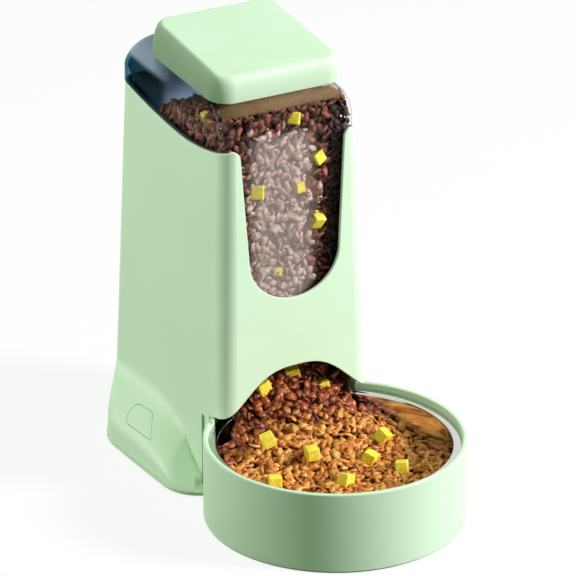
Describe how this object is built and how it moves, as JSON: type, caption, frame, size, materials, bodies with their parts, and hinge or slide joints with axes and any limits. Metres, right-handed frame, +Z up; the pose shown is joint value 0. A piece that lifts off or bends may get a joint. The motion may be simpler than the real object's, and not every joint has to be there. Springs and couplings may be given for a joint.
{
  "type": "gravity pet feeder",
  "caption": "Gravity pet feeder: tapered tower shell with flared feet, clear hopper, sloping lid, feed arch and a round tray with a lift-out steel bowl.",
  "frame": {"origin": "under the middle of the whole feeder, in the plane of the undersides of its rubber feet", "axes": "+Z up, -Y to the front where the bowl is, +X to the feeder's own left as seen from behind it (right in a front view)"},
  "size_m": [0.18, 0.302, 0.3162],
  "materials": {
    "mint_plastic": "satin moulded",
    "clear_plastic": "clear, faint smoky blue",
    "polished_steel": "mirror polished",
    "spring_steel": "bright drawn",
    "silicone": "soft translucent",
    "foot_rubber": "matt"
  },
  "bodies": {
    "root": {"base_tray": "mint_plastic", "steel_bowl": "polished_steel", "tower_shell": "mint_plastic", "hopper": "clear_plastic", "feed_chute": "mint_plastic", "lid_cover": "mint_plastic", "lid_liner": "mint_plastic", "lid_seal": "silicone", "button_spring_left": "spring_steel", "button_spring_right": "spring_steel", "button_retainer_left": "mint_plastic", "button_retainer_right": "mint_plastic", "retainer_screws": "spring_steel", "foot_ring_left": "foot_rubber", "foot_ring_right": "foot_rubber", "foot_front_left": "foot_rubber", "foot_front_right": "foot_rubber", "foot_rear_left": "foot_rubber", "foot_rear_right": "foot_rubber"},
    "button_left": {"release_button_left": "mint_plastic"},
    "button_right": {"release_button_right": "mint_plastic"}
  },
  "joints": [
    {"name": "button_left_press", "type": "slide", "parent": "root", "child": "button_left", "axis": [1, 0, 0], "range_m": [0, 0.003], "stiffness_N_per_m": 350, "springref_m": -0.003, "deforming": ["button_spring_left"]},
    {"name": "button_right_press", "type": "slide", "parent": "root", "child": "button_right", "axis": [-1, 0, 0], "range_m": [0, 0.003], "stiffness_N_per_m": 350, "springref_m": -0.003, "deforming": ["button_spring_right"]}
  ]
}
